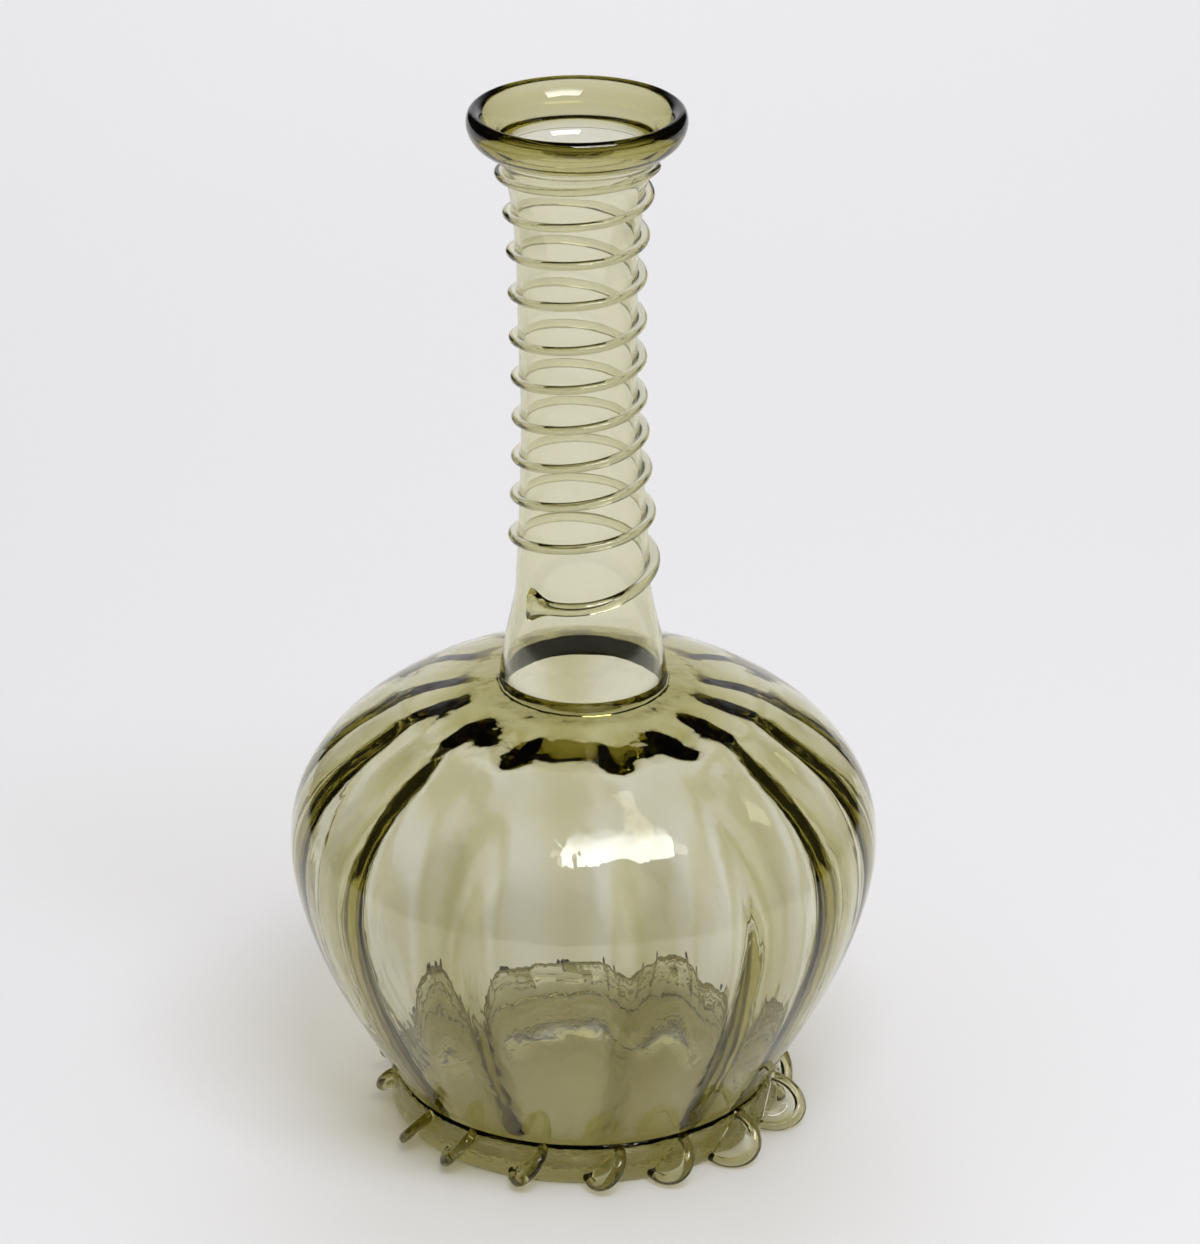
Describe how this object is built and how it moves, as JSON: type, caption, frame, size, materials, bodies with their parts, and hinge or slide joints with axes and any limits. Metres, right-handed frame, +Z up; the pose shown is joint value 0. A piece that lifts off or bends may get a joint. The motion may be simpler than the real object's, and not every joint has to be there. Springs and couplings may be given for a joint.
{
  "type": "stem vase",
  "caption": "Blown glass bottle vase with a ribbed bulb, a tall neck wound with a glass thread, a rolled lip and a foot trail pinched into lobes.",
  "frame": {"origin": "on the table, under the middle of the bulb", "axes": "+Z up the neck, -Y towards the front, where the thread starts a little to the left"},
  "size_m": [0.1784, 0.1784, 0.32],
  "materials": {
    "clear_olive_glass": "fire polished, clear pale olive",
    "thick_olive_glass": "fire polished, dark where thick",
    "foot_olive_glass": "tooled, clear olive"
  },
  "bodies": {
    "root": {"bulb": "clear_olive_glass", "neck": "clear_olive_glass", "lip_roll": "thick_olive_glass", "neck_thread": "clear_olive_glass", "foot_ring": "foot_olive_glass", "foot_lobe_01": "foot_olive_glass", "foot_lobe_02": "foot_olive_glass", "foot_lobe_03": "foot_olive_glass", "foot_lobe_04": "foot_olive_glass", "foot_lobe_05": "foot_olive_glass", "foot_lobe_06": "foot_olive_glass", "foot_lobe_07": "foot_olive_glass", "foot_lobe_08": "foot_olive_glass", "foot_lobe_09": "foot_olive_glass", "foot_lobe_10": "foot_olive_glass", "foot_lobe_11": "foot_olive_glass", "foot_lobe_12": "foot_olive_glass", "foot_lobe_13": "foot_olive_glass", "foot_lobe_14": "foot_olive_glass", "foot_lobe_15": "foot_olive_glass", "foot_lobe_16": "foot_olive_glass", "foot_lobe_17": "foot_olive_glass", "foot_lobe_18": "foot_olive_glass"}
  },
  "joints": []
}
